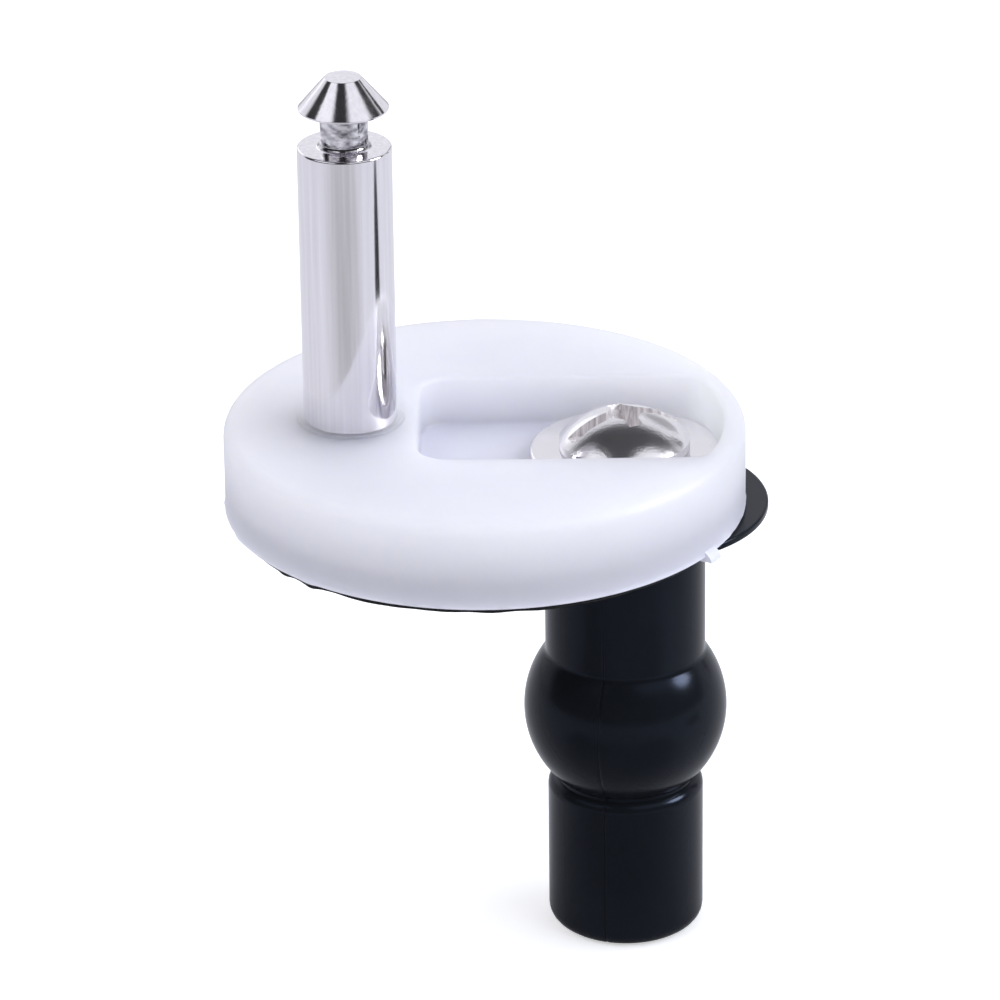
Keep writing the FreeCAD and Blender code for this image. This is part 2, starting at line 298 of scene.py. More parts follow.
def white_polypropylene():
    """Moulded polypropylene: cool white, satin with a faint ripple, and light soaking through its walls."""
    material, tree = new_material("white_polypropylene")
    coords = add(tree, "ShaderNodeTexCoord").outputs["Object"]
    cloud = add(tree, "ShaderNodeTexNoise", {"Vector": coords, "Scale": 1 / (7 * MM), "Detail": 2.0})
    colour = add(
        tree, "ShaderNodeMix",
        {"Factor": cloud.outputs["Fac"], "A": linear("#EDEDF6"), "B": linear("#E7E7F2")},
        data_type="RGBA",
    )
    ripple = add(tree, "ShaderNodeTexNoise", {"Vector": coords, "Scale": 1 / (1.6 * MM), "Detail": 4.0})
    gloss = add(
        tree, "ShaderNodeMapRange",
        {"Value": ripple.outputs["Fac"], "To Min": 0.4, "To Max": 0.5},
    )
    bump = add(
        tree, "ShaderNodeBump",
        {"Height": ripple.outputs["Fac"], "Strength": 0.12, "Distance": 0.03 * MM},
    )
    height = add(tree, "ShaderNodeSeparateXYZ", {"Vector": coords}).outputs["Z"]
    clear_of_pad = add(
        tree, "ShaderNodeMapRange",
        {"Value": height, "From Min": skirt_z, "From Max": skirt_z + 2.5 * MM},
    )
    normal = add(tree, "ShaderNodeTexCoord").outputs["Normal"]
    upward = add(tree, "ShaderNodeSeparateXYZ", {"Vector": normal}).outputs["Z"]
    low = add(tree, "ShaderNodeMath", {0: height, 1: floor_z + FLOOR_ROUND}, operation="LESS_THAN")
    thin = add(tree, "ShaderNodeMath", {0: low.outputs["Value"], 1: upward}, operation="MULTIPLY")
    soak = add(
        tree, "ShaderNodeMath",
        {0: thin.outputs["Value"], 1: -0.5, 2: clear_of_pad.outputs["Result"]},
        operation="MULTIPLY_ADD",
        use_clamp=True,
    )
    shader = add(
        tree, "ShaderNodeBsdfPrincipled",
        {
            "Base Color": colour.outputs["Result"],
            "Roughness": gloss.outputs["Result"],
            "Normal": bump.outputs["Normal"],
            "IOR": 1.49,
            "Specular IOR Level": 0.32,
            "Subsurface Weight": soak.outputs["Value"],
            "Subsurface Radius": (1.0, 1.0, 0.85),
            "Subsurface Scale": 20.0 * MM,
        },
    )
    add(tree, "ShaderNodeOutputMaterial", {"Surface": shader.outputs["BSDF"]})
    return material


def nickel_plate():
    """Nickel plate on a turned pin: mirror bright, drawn lines on the journal, and a neck painted darker in
    random blotches, as painted shade under the head.
    """
    material, tree = new_material("nickel_plate")
    coords = add(tree, "ShaderNodeTexCoord").outputs["Object"]
    along = add(
        tree, "ShaderNodeMapping",
        {"Vector": coords, "Scale": (1 / (0.4 * MM), 1 / (0.4 * MM), 1 / (16 * MM))},
    )
    lines = add(tree, "ShaderNodeTexNoise", {"Vector": along.outputs["Vector"], "Scale": 1.0, "Detail": 3.0})
    gloss = add(
        tree, "ShaderNodeMapRange",
        {"Value": lines.outputs["Fac"], "To Min": 0.05, "To Max": 0.14},
    )
    drawn = add(
        tree, "ShaderNodeBump",
        {"Height": lines.outputs["Fac"], "Strength": 0.2, "Distance": 0.03 * MM},
    )
    streaked = add(
        tree, "ShaderNodeMix",
        {"Factor": lines.outputs["Fac"], "A": linear("#D5D2D7"), "B": linear("#F4F2F5")},
        data_type="RGBA",
    )
    height = add(tree, "ShaderNodeSeparateXYZ", {"Vector": coords}).outputs["Z"]
    over = add(tree, "ShaderNodeMath", {0: height, 1: shoulder_z + PIN_FINE_ROUND}, operation="GREATER_THAN")
    below = add(tree, "ShaderNodeMath", {0: height, 1: neck_top}, operation="LESS_THAN")
    neck = add(
        tree, "ShaderNodeMath",
        {0: over.outputs["Value"], 1: below.outputs["Value"]},
        operation="MULTIPLY",
    )
    around = add(
        tree, "ShaderNodeMapping",
        {"Vector": coords, "Scale": (1 / (1.1 * MM), 1 / (1.1 * MM), 1 / (0.6 * MM))},
    )
    mottle = add(
        tree, "ShaderNodeTexNoise",
        {"Vector": around.outputs["Vector"], "Scale": 1.0, "Detail": 3.0},
    )
    # The neck's colour is painted darker than the journal in random blotches: painted shade under the pin's
    # head, on top of random mottling.
    shade_blotches = add(
        tree, "ShaderNodeMapRange",
        {"Value": mottle.outputs["Fac"], "From Min": 0.35, "From Max": 0.65},
    )
    mottling_and_painted_shade = add(
        tree, "ShaderNodeMix",
        {"Factor": shade_blotches.outputs["Result"], "A": linear("#6B686E"), "B": linear("#E4E2E6")},
        data_type="RGBA",
    )
    colour = add(
        tree, "ShaderNodeMix",
        {
            "Factor": neck.outputs["Value"],
            "A": streaked.outputs["Result"],
            "B": mottling_and_painted_shade.outputs["Result"],
        },
        data_type="RGBA",
    )
    marks = add(
        tree, "ShaderNodeBump",
        {
            "Height": mottle.outputs["Fac"],
            "Strength": neck.outputs["Value"],
            "Distance": 0.03 * MM,
            "Normal": drawn.outputs["Normal"],
        },
    )
    tooled = add(
        tree, "ShaderNodeMix",
        {"Factor": neck.outputs["Value"], "A": gloss.outputs["Result"], "B": 0.1},
    )
    spread = add(tree, "ShaderNodeMath", {0: neck.outputs["Value"], 1: 0.8}, operation="MULTIPLY")
    lathe = add(tree, "ShaderNodeTangent", direction_type="RADIAL", axis="Z")
    shader = add(
        tree, "ShaderNodeBsdfPrincipled",
        {
            "Base Color": colour.outputs["Result"],
            "Metallic": 1.0,
            "Roughness": tooled.outputs["Result"],
            "Anisotropic": spread.outputs["Value"],
            "Anisotropic Rotation": 0.25,
            "Tangent": lathe.outputs["Tangent"],
            "Normal": marks.outputs["Normal"],
        },
    )
    add(tree, "ShaderNodeOutputMaterial", {"Surface": shader.outputs["BSDF"]})
    return material


def stainless_steel():
    """Cold-headed stainless steel, tumbled: bright, with a fine orange peel that breaks up reflections."""
    material, tree = new_material("stainless_steel")
    coords = add(tree, "ShaderNodeTexCoord").outputs["Object"]
    peel = add(tree, "ShaderNodeTexNoise", {"Vector": coords, "Scale": 1 / (0.3 * MM), "Detail": 3.0})
    worn = add(tree, "ShaderNodeTexNoise", {"Vector": coords, "Scale": 1 / (2.5 * MM), "Detail": 2.0})
    gloss = add(
        tree, "ShaderNodeMapRange",
        {"Value": worn.outputs["Fac"], "To Min": 0.12, "To Max": 0.22},
    )
    bump = add(
        tree, "ShaderNodeBump",
        {"Height": peel.outputs["Fac"], "Strength": 0.3, "Distance": 0.05 * MM},
    )
    shader = add(
        tree, "ShaderNodeBsdfPrincipled",
        {
            "Base Color": linear("#E2E0E3"),
            "Metallic": 0.96,
            "Roughness": gloss.outputs["Result"],
            "Normal": bump.outputs["Normal"],
        },
    )
    add(tree, "ShaderNodeOutputMaterial", {"Surface": shader.outputs["BSDF"]})
    return material


def punched_steel_painted_light():
    """Steel torn by the heading punch in the drive recess: dull, with streaks along the punch, and painted
    near white, as painted light that lifts the recess's shade.
    """
    material, tree = new_material("punched_steel_painted_light")
    coords = add(tree, "ShaderNodeTexCoord").outputs["Object"]
    along = add(
        tree, "ShaderNodeMapping",
        {"Vector": coords, "Scale": (1 / (0.3 * MM), 1 / (0.3 * MM), 1 / (4 * MM))},
    )
    streaks = add(
        tree, "ShaderNodeTexNoise",
        {"Vector": along.outputs["Vector"], "Scale": 1.0, "Detail": 2.0},
    )
    torn = add(
        tree, "ShaderNodeMapRange",
        {"Value": streaks.outputs["Fac"], "From Min": 0.25, "From Max": 0.7},
    )
    # The light end of the streak colours is near white: painted light in the shaded drive recess, on top of
    # the punch's streaks.
    colour = add(
        tree, "ShaderNodeMix",
        {"Factor": torn.outputs["Result"], "A": linear("#A39D9F"), "B": linear("#FCF9F9")},
        data_type="RGBA",
    )
    bump = add(
        tree, "ShaderNodeBump",
        {"Height": streaks.outputs["Fac"], "Strength": 0.5, "Distance": 0.06 * MM},
    )
    shader = add(
        tree, "ShaderNodeBsdfPrincipled",
        {
            "Base Color": colour.outputs["Result"],
            "Metallic": 0.5,
            "Roughness": 0.55,
            "Normal": bump.outputs["Normal"],
        },
    )
    add(tree, "ShaderNodeOutputMaterial", {"Surface": shader.outputs["BSDF"]})
    return material


def black_rubber():
    """Moulded rubber: near black with a satin skin, a little blooming and a fine grain from the mould."""
    material, tree = new_material("black_rubber")
    coords = add(tree, "ShaderNodeTexCoord").outputs["Object"]
    bloom = add(tree, "ShaderNodeTexNoise", {"Vector": coords, "Scale": 1 / (5 * MM), "Detail": 3.0})
    colour = add(
        tree, "ShaderNodeMix",
        {"Factor": bloom.outputs["Fac"], "A": linear("#14161A"), "B": linear("#1B1E22")},
        data_type="RGBA",
    )
    grain = add(tree, "ShaderNodeTexNoise", {"Vector": coords, "Scale": 1 / (0.25 * MM), "Detail": 2.0})
    gloss = add(
        tree, "ShaderNodeMapRange",
        {"Value": bloom.outputs["Fac"], "To Min": 0.15, "To Max": 0.22},
    )
    bump = add(
        tree, "ShaderNodeBump",
        {"Height": grain.outputs["Fac"], "Strength": 0.1, "Distance": 0.02 * MM},
    )
    shader = add(
        tree, "ShaderNodeBsdfPrincipled",
        {
            "Base Color": colour.outputs["Result"],
            "Roughness": gloss.outputs["Result"],
            "Normal": bump.outputs["Normal"],
            "IOR": 1.5,
            "Specular IOR Level": 0.12,
            # The blue Specular Tint paints the colour of a bluish light into the rubber's reflections and
            # highlight.
            "Specular Tint": (0.52, 0.66, 1.0, 1.0),
        },
    )
    add(tree, "ShaderNodeOutputMaterial", {"Surface": shader.outputs["BSDF"]})
    return material


def gasket_rubber():
    """Die-cut rubber sheet: matt black with the pits of a cellular sheet."""
    material, tree = new_material("gasket_rubber")
    coords = add(tree, "ShaderNodeTexCoord").outputs["Object"]
    pits = add(tree, "ShaderNodeTexVoronoi", {"Vector": coords, "Scale": 1 / (0.4 * MM)})
    colour = add(
        tree, "ShaderNodeMix",
        {"Factor": pits.outputs["Distance"], "A": linear("#0A0A0C"), "B": linear("#17171B")},
        data_type="RGBA",
    )
    bump = add(
        tree, "ShaderNodeBump",
        {"Height": pits.outputs["Distance"], "Strength": 0.4, "Distance": 0.05 * MM},
    )
    shader = add(
        tree, "ShaderNodeBsdfPrincipled",
        {"Base Color": colour.outputs["Result"], "Roughness": 0.8, "Normal": bump.outputs["Normal"]},
    )
    add(tree, "ShaderNodeOutputMaterial", {"Surface": shader.outputs["BSDF"]})
    return material


def zinc_plate():
    """Zinc plate on a cold-formed nut: dull silver with a faint cloudy passivation."""
    material, tree = new_material("zinc_plate")
    coords = add(tree, "ShaderNodeTexCoord").outputs["Object"]
    cloud = add(tree, "ShaderNodeTexNoise", {"Vector": coords, "Scale": 1 / (1.5 * MM), "Detail": 3.0})
    colour = add(
        tree, "ShaderNodeMix",
        {"Factor": cloud.outputs["Fac"], "A": linear("#B7BBC2"), "B": linear("#C9C6BC")},
        data_type="RGBA",
    )
    gloss = add(
        tree, "ShaderNodeMapRange",
        {"Value": cloud.outputs["Fac"], "To Min": 0.28, "To Max": 0.42},
    )
    shader = add(
        tree, "ShaderNodeBsdfPrincipled",
        {"Base Color": colour.outputs["Result"], "Metallic": 1.0, "Roughness": gloss.outputs["Result"]},
    )
    add(tree, "ShaderNodeOutputMaterial", {"Surface": shader.outputs["BSDF"]})
    return material


# Base

def draw_slot(bm, radius, height):
    """Outline of the slot that lets the base shift on the screw."""
    start = bm.verts.new((0, -radius, height))
    tip = draw_arc(bm, start, (0, 0, height), UP, 180)
    tip = draw_line(bm, tip, (-SLOT_TRAVEL, radius, height))
    tip = draw_arc(bm, tip, (-SLOT_TRAVEL, 0, height), UP, 180)
    bm.edges.new((tip, start))


def draw_pocket_lip(bm):
    """Outline of the pocket's soft lip where it meets the disc's top, and the face inside it."""
    half = POCKET_HALF_WIDTH + LIP_ROUND
    corner = POCKET_CORNER + LIP_ROUND
    end = POCKET_END + LIP_ROUND
    reach = disc_radius - POCKET_WALL + LIP_ROUND
    left = pin_x + PIN_RADIUS + PIN_LAND - LIP_ROUND
    end_x = disc_x + math.sqrt((reach - end) ** 2 - (half - end) ** 2)
    slope = math.degrees(math.atan2(half - end, end_x - disc_x))

    before = set(bm.edges)
    start = bm.verts.new((left + corner, -half, disc_top))
    tip = draw_line(bm, start, (end_x, -half, disc_top))
    tip = draw_arc(bm, tip, (end_x, end - half, disc_top), UP, 90 - slope)
    tip = draw_arc(bm, tip, (disc_x, 0, disc_top), UP, 2 * slope)
    tip = draw_arc(bm, tip, (end_x, half - end, disc_top), UP, 90 - slope)
    tip = draw_line(bm, tip, (left + corner, half, disc_top))
    tip = draw_arc(bm, tip, (left + corner, half - corner, disc_top), UP, 90)
    tip = draw_line(bm, tip, (left, corner - half, disc_top))
    tip = draw_arc(bm, tip, (left + corner, corner - half, disc_top), UP, 90)
    drawn = [e for e in bm.edges if e not in before]
    verts = list(dict.fromkeys(v for e in drawn for v in e.verts))
    bmesh.ops.remove_doubles(bm, verts=verts, dist=WELD)
    loop = [e for e in bm.edges if e not in before]
    face = bmesh.ops.contextual_create(bm, geom=loop)["faces"][0]
    if face.normal.z < 0:
        face.normal_flip()
    return face


def sink_pocket(bm):
    """Sinks the pocket from its lip: a round over the lip, the wall, and a small round into the floor."""
    face = draw_pocket_lip(bm)
    bends = [math.radians(90 * step / ROUND_STEPS) for step in range(ROUND_STEPS + 1)]
    for a, b in zip(bends, bends[1:]):
        inward = LIP_ROUND * (math.sin(b) - math.sin(a))
        down = LIP_ROUND * (math.cos(a) - math.cos(b))
        bmesh.ops.inset_region(
            bm, faces=[face], thickness=inward, depth=-down, use_even_offset=True, use_boundary=True
        )
    face = bmesh.ops.extrude_discrete_faces(bm, faces=[face])["faces"][0]
    wall = POCKET_DEPTH - LIP_ROUND - FLOOR_ROUND
    bmesh.ops.translate(bm, verts=face.verts, vec=(0, 0, -wall))
    for a, b in zip(bends, bends[1:]):
        inward = FLOOR_ROUND * (math.cos(a) - math.cos(b))
        down = FLOOR_ROUND * (math.sin(b) - math.sin(a))
        bmesh.ops.inset_region(
            bm, faces=[face], thickness=inward, depth=-down, use_even_offset=True, use_boundary=True
        )
    for vert in face.verts:
        vert.co.z = floor_z
    bmesh.ops.delete(bm, geom=[face], context="FACES_ONLY")


def swell(angle, places, spread):
    """How much of a local swelling falls at an angle."""
    return sum(math.exp(-(math.remainder(angle - place, 360) / spread) ** 2) for place in places)


def roughen_flash(bm):
    """Makes the thin flash along the disc's lower edge uneven, with a few burrs."""
    for vert in bm.verts:
        out = Vector((vert.co.x - disc_x, vert.co.y, 0))
        if out.length > disc_radius + FLASH_PROUD / 2:
            angle = math.degrees(math.atan2(out.y, out.x))
            burr = BURR_PROUD * swell(angle, BURRS, BURR_SPREAD)
            rag = FLASH_PROUD * noise.noise(out / FLASH_GRAIN)
            vert.co += out.normalized() * (rag + burr)
            vert.co.z -= burr


def base_moulding(material):
    """The disc in one moulding: rim with a little flash, pocket, slot, and the boss that holds the pin."""
    bm = bmesh.new()
    turn(
        bm,
        (disc_radius - RIM_ROUND, disc_top),
        [
            (disc_radius - RIM_ROUND, disc_top - RIM_ROUND, 90),
            (disc_radius, skirt_z + FLASH_HEIGHT),
            (disc_radius + FLASH_PROUD, skirt_z + FLASH_PROUD),
            (disc_radius, skirt_z),
            (pad_radius + SEAT_GAP, skirt_z),
            (pad_radius + SEAT_GAP, under_z),
        ],
        disc_x,
        RIM_STEPS,
    )
    roughen_flash(bm)
    foot_top = under_z + PIN_FOOT_HEIGHT
    foot_hole = pin_foot + PIN_HOLE - PIN_SPIGOT
    turn(
        bm,
        (BOSS_RADIUS + BOSS_FOOT, disc_top),
        [
            (BOSS_RADIUS + BOSS_FOOT, disc_top + BOSS_FOOT, 90),
            (BOSS_RADIUS - BOSS_ROUND, boss_top - BOSS_ROUND, -90),
            (PIN_HOLE, boss_top),
            (PIN_HOLE, foot_top),
            (foot_hole, foot_top),
            (foot_hole, under_z),
        ],
        pin_x,
    )
    sink_pocket(bm)
    draw_slot(bm, SLOT_RADIUS, floor_z)
    slot_edges = [e for e in edges_at(bm, floor_z) if not e.link_faces]
    made = bmesh.ops.extrude_edge_only(bm, edges=slot_edges)["geom"]
    sunk = [part for part in made if isinstance(part, bmesh.types.BMVert)]
    bmesh.ops.translate(bm, verts=sunk, vec=(0, 0, under_z - floor_z))
    for height in (disc_top, floor_z, under_z):
        fill_level(bm, height)
    piece = new_piece("base_moulding", bm, material)
    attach(piece, "base")
    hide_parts("base_disc")


def gate_stub(material):
    """The broken-off gate left on the disc's lower edge by the moulding."""
    bm = bmesh.new()
    bmesh.ops.create_cube(bm, size=1.0, matrix=Matrix.Diagonal((*GATE_SIZE, 1)))
    bmesh.ops.subdivide_edges(bm, edges=bm.edges, cuts=GATE_CUTS, use_grid_fill=True)
    noise.seed_set(GATE_SEED)
    for vert in bm.verts:
        high = vert.co.z / GATE_SIZE[2] + 0.5
        vert.co.x -= GATE_PROUD * high * high
        vert.co += noise.noise_vector(vert.co / GATE_GRAIN) * GATE_RAG
    centre = disc_radius + GATE_PROUD - GATE_SIZE[0] / 2
    bmesh.ops.translate(bm, verts=bm.verts, vec=(centre, 0, skirt_z + GATE_SIZE[2] / 2 - GATE_DROP))
    turned = Matrix.Rotation(math.radians(GATE_ANGLE), 3, "Z")
    bmesh.ops.rotate(bm, verts=bm.verts, cent=(0, 0, 0), matrix=turned)
    bmesh.ops.translate(bm, verts=bm.verts, vec=(disc_x, 0, 0))
    piece = new_piece("gate_stub", bm, material)
    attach(piece, "base")


def base_pad(material):
    """The die-cut pad glued under the disc, its edge drooping and squeezed out in places."""
    bm = bmesh.new()
    turn(
        bm,
        (pad_radius - PAD_EDGE, gasket_high.z),
        [
            (pad_radius, gasket_high.z),
            (pad_radius, gasket_low.z),
            (pad_radius - PAD_EDGE, gasket_low.z),
        ],
        disc_x,
        RIM_STEPS,
    )
    edge_verts = [
        v for v in bm.verts
        if v.co.z < gasket_low.z + LEVEL and math.hypot(v.co.x - disc_x, v.co.y) > pad_radius - LEVEL
    ]
    draw_slot(bm, SLOT_RADIUS + PAD_SLOT_GAP, gasket_high.z)
    slot_edges = [e for e in bm.edges if not e.link_faces]
    made = bmesh.ops.extrude_edge_only(bm, edges=slot_edges)["geom"]
    sunk = [part for part in made if isinstance(part, bmesh.types.BMVert)]
    bmesh.ops.translate(bm, verts=sunk, vec=(0, 0, gasket_low.z - gasket_high.z))
    for height in (gasket_high.z, gasket_low.z):
        fill_level(bm, height)
    for vert in edge_verts:
        out = Vector((vert.co.x - disc_x, vert.co.y, 0))
        angle = math.degrees(math.atan2(out.y, out.x))
        bulge = PAD_BULGE * swell(angle, PAD_BULGES, PAD_BULGE_SPREAD)
        vert.co += out.normalized() * (SEAT_GAP + bulge / 2)
        vert.co.z -= PAD_SAG * (1 + noise.noise(out / PAD_GRAIN) / 2) + bulge
    piece = new_piece("base_pad", bm, material)
    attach(piece, "base")
    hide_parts("base_gasket")


def turned_pin(material):
    """The hinge pin: peened foot, spigot, plain journal, neck and conical snap head."""
    bm = bmesh.new()
    tip_z = pin_high.z
    cone_z = tip_z - PIN_HEAD_CONE
    fine = PIN_FINE_ROUND
    flare = PIN_NECK_ROUND
    turn(
        bm,
        (0, tip_z),
        [
            (PIN_TIP - fine, tip_z),
            (PIN_TIP - fine, tip_z - fine, PIN_CONE_TURN),
            (PIN_HEAD - fine, cone_z),
            (PIN_HEAD, cone_z - fine),
            (PIN_HEAD, neck_top + fine),
            (PIN_HEAD - fine, neck_top + fine, 90),
            (PIN_NECK + flare, neck_top),
            (PIN_NECK + flare, neck_top - flare, -90),
            (PIN_NECK, shoulder_z + flare),
            (PIN_NECK + flare, shoulder_z + flare, -90),
            (PIN_RADIUS - PIN_EDGE, shoulder_z),
            (PIN_RADIUS - PIN_EDGE, shoulder_z - PIN_EDGE, 90),
            (PIN_RADIUS, boss_top + fine),
            (PIN_RADIUS - fine, boss_top + fine, 90),
            (PIN_SPIGOT, boss_top),
            (PIN_SPIGOT, under_z + PIN_FOOT_HEIGHT),
            (pin_foot, under_z + PIN_FOOT_HEIGHT),
            (pin_foot, under_z),
            (0, under_z),
        ],
        pin_x,
    )
    piece = new_piece("turned_pin", bm, material)
    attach(piece, "base")
    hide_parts("hinge_pin")


# Screw and washer

def drive_cutter(material):
    """Solid of the slot, the cross and its faceted well, as the heading punch leaves them."""
    bm = bmesh.new()
    blade = Matrix.Translation((0, 0, head_top)) @ Matrix.Diagonal(
        (2 * head_radius, DRIVE_WIDTH, 2 * SLOT_DEPTH, 1)
    )
    bmesh.ops.create_cube(bm, size=1.0, matrix=blade)
    root = Matrix.Translation((0, 0, head_top - CROSS_DEPTH / 2))
    bmesh.ops.create_cone(
        bm,
        cap_ends=True,
        segments=CROSS_FACETS,
        radius1=CROSS_ROOT / 2,
        radius2=CROSS_WELL / 2,
        depth=CROSS_DEPTH,
        matrix=root @ Matrix.Rotation(math.pi / CROSS_FACETS, 4, "Z"),
    )
    for quarter in (0, 90):
        wing = bmesh.ops.create_cube(bm, size=1.0)["verts"]
        for vert in wing:
            low = vert.co.z < 0
            span = CROSS_ROOT if low else CROSS_SPAN
            width = WING_ROOT_WIDTH if low else WING_TOP_WIDTH
            drop = CROSS_DEPTH if low else 0
            vert.co = (vert.co.x * span, vert.co.y * width, head_top + WING_LIFT - drop)
        crossed = Matrix.Rotation(math.radians(quarter), 3, "Z")
        bmesh.ops.rotate(bm, verts=wing, cent=(0, 0, 0), matrix=crossed)
    turned = Matrix.Rotation(math.radians(DRIVE_ANGLE), 3, "Z")
    bmesh.ops.rotate(bm, verts=bm.verts, cent=(0, 0, 0), matrix=turned)
    mesh = bpy.data.meshes.new("drive_cutter")
    bm.to_mesh(mesh)
    bm.free()
    mesh.materials.append(material)
    cutter = bpy.data.objects.new("drive_cutter", mesh)
    bpy.context.scene.collection.objects.link(cutter)
    return cutter


def pan_head_screw(material, recess_material):
    """Screw head and shank core, with the drive recess cut in the dome."""
    bm = bmesh.new()
    under = washer_high.z
    dome_radius = (head_radius**2 + HEAD_DOME**2) / (2 * HEAD_DOME)
    dome_z = head_top - dome_radius
    sweep = math.degrees(math.asin(head_radius / dome_radius))
    core = SHANK_RADIUS - THREAD_DEPTH
    turn(
        bm,
        (0, head_top),
        [
            (0, dome_z, sweep),
            (head_radius, under + HEAD_EDGE),
            (head_radius - HEAD_EDGE, under + HEAD_EDGE, 90),
            (core, under),
            (core, screw_low.z + SHANK_POINT),
            (core - SHANK_POINT / 2, screw_low.z),
            (0, screw_low.z),
        ],
    )
    piece = new_piece("pan_head_screw", bm, material)
    cutter = drive_cutter(recess_material)
    cut = piece.modifiers.new("drive_recess", "BOOLEAN")
    cut.object = cutter
    cut.operation = "DIFFERENCE"
    cut.solver = "EXACT"
    cut.use_self = True
    cut.material_mode = "TRANSFER"
    piece.modifiers.move(piece.modifiers.find("drive_recess"), 0)
    even = piece.modifiers["even_normals"]
    even.show_viewport = False
    depsgraph = bpy.context.evaluated_depsgraph_get()
    mesh = bpy.data.meshes.new_from_object(piece.evaluated_get(depsgraph))
    piece.modifiers.remove(cut)
    even.show_viewport = True
    piece.data = mesh
    mesh.name = "pan_head_screw"
    mesh.set_sharp_from_angle(angle=math.radians(SHARP_ANGLE))
    bpy.data.objects.remove(cutter)
    worn = piece.modifiers.new("worn_edges", "BEVEL")
    worn.width = DRIVE_BURR
    worn.segments = WORN_SEGMENTS
    worn.limit_method = "ANGLE"
    worn.angle_limit = math.radians(SHARP_ANGLE)
    piece.modifiers.move(piece.modifiers.find("worn_edges"), 0)
    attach(piece, "screw")
    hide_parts("fixing_screw")


def screw_thread(material):
    """The thread's ridge wound round the shank's core."""
    bm = bmesh.new()
    core = SHANK_RADIUS - THREAD_DEPTH
    low = screw_low.z + SHANK_POINT
    turns = (washer_low.z - low) / THREAD_PITCH
    steps = round(turns * THREAD_STEPS)
    corners = [
        (core - THREAD_SUNK, low - THREAD_HALF_FOOT),
        (SHANK_RADIUS, low - THREAD_HALF_CREST),
        (SHANK_RADIUS, low + THREAD_HALF_CREST),
        (core - THREAD_SUNK, low + THREAD_HALF_FOOT),
    ]
    verts = [bm.verts.new((r, 0, z)) for r, z in corners]
    start = bm.faces.new(verts)
    bmesh.ops.spin(
        bm,
        geom=[start],
        cent=(0, 0, 0),
        axis=UP,
        dvec=(0, 0, (washer_low.z - low) / steps),
        angle=math.tau * turns,
        steps=steps,
    )
    piece = new_piece("screw_thread", bm, material)
    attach(piece, "screw")


def punched_washer(material):
    """The large washer, with a rolled upper edge from the punch."""
    bm = bmesh.new()
    radius = (washer_high.x - washer_low.x) / 2
    top = washer_high.z
    bottom = washer_low.z
    fine = WASHER_EDGE / 3
    turn(
        bm,
        (WASHER_BORE, bottom),
        [
            (WASHER_BORE, top - fine),
            (WASHER_BORE + fine, top - fine, 90),
            (radius - WASHER_EDGE, top),
            (radius - WASHER_EDGE, top - WASHER_EDGE, 90),
            (radius, bottom + fine),
            (radius - fine, bottom + fine, 90),
            (WASHER_BORE, bottom),
        ],
    )
    piece = new_piece("punched_washer", bm, material)
    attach(piece, "washer")
    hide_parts("flat_washer")


# Plug

def rubber_plug(material):
    """The moulded plug: flange, neck, ball, groove and foot, with the mould's parting line on two sides."""
    bm = bmesh.new()
    flange = (plug_high.x - plug_low.x) / 2
    top = plug_high.z
    bottom = plug_low.z
    edge = FLANGE_EDGE
    root = FLANGE_ROOT
    ball_top = -PLUG_NECK_LENGTH
    ball_z = ball_top - math.sqrt(PLUG_BALL**2 - PLUG_NECK**2)
    groove_z = ball_z - math.sqrt(PLUG_BALL**2 - PLUG_GROOVE**2)
    root_radius = PLUG_NECK + PLUG_NECK_ROOT
    root_turn = math.acos(root_radius / (PLUG_BALL + PLUG_NECK_ROOT))
    root_z = ball_z + root_radius * math.tan(root_turn)
    sweep = math.degrees(root_turn + math.acos(PLUG_GROOVE / PLUG_BALL))
    foot_top = groove_z - PLUG_GROOVE_WIDTH
    groove_depth = PLUG_FOOT - PLUG_GROOVE
    shoulder_z = foot_top - math.sqrt(2 * PLUG_SHOULDER * groove_depth - groove_depth**2)
    shoulder_turn = math.degrees(math.acos(1 - groove_depth / PLUG_SHOULDER))
    turn(
        bm,
        (PLUG_BORE, top),
        [
            (flange - edge, top),
            (flange - edge, top - edge, 90),
            (flange, edge),
            (flange - edge, edge, 90),
            (PLUG_NECK + root, 0),
            (PLUG_NECK + root, -root, -90),
            (PLUG_NECK, root_z),
            (root_radius, root_z, -math.degrees(root_turn)),
            (0, ball_z, sweep),
            (PLUG_GROOVE, foot_top),
            (PLUG_FOOT - PLUG_SHOULDER, shoulder_z, shoulder_turn),
            (PLUG_FOOT, bottom + PLUG_END),
            (PLUG_FOOT - PLUG_END, bottom + PLUG_END, 90),
            (PLUG_BORE, bottom),
            (PLUG_BORE, nut_low.z - NUT_GAP),
            (NUT_POCKET, nut_low.z - NUT_GAP),
            (NUT_POCKET, nut_high.z + NUT_GAP),
            (PLUG_BORE, nut_high.z + NUT_GAP),
            (PLUG_BORE, top),
        ],
        steps=PLUG_STEPS,
    )
    half_step = math.pi / PLUG_STEPS
    seams = [math.radians(SEAM_ANGLE), math.radians(SEAM_ANGLE + 180)]
    for vert in bm.verts:
        outside = Vector((vert.co.x, vert.co.y, 0))
        angle = math.atan2(vert.co.y, vert.co.x)
        near = any(abs(math.remainder(angle - seam, math.tau)) < half_step for seam in seams)
        if near and vert.co.z < LEVEL - root and outside.length > NUT_POCKET:
            vert.co -= outside.normalized() * SEAM_DEPTH
    piece = new_piece("rubber_plug", bm, material)
    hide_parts("expansion_plug")
    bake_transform(piece)


# Studio, in metres where MM isn't named

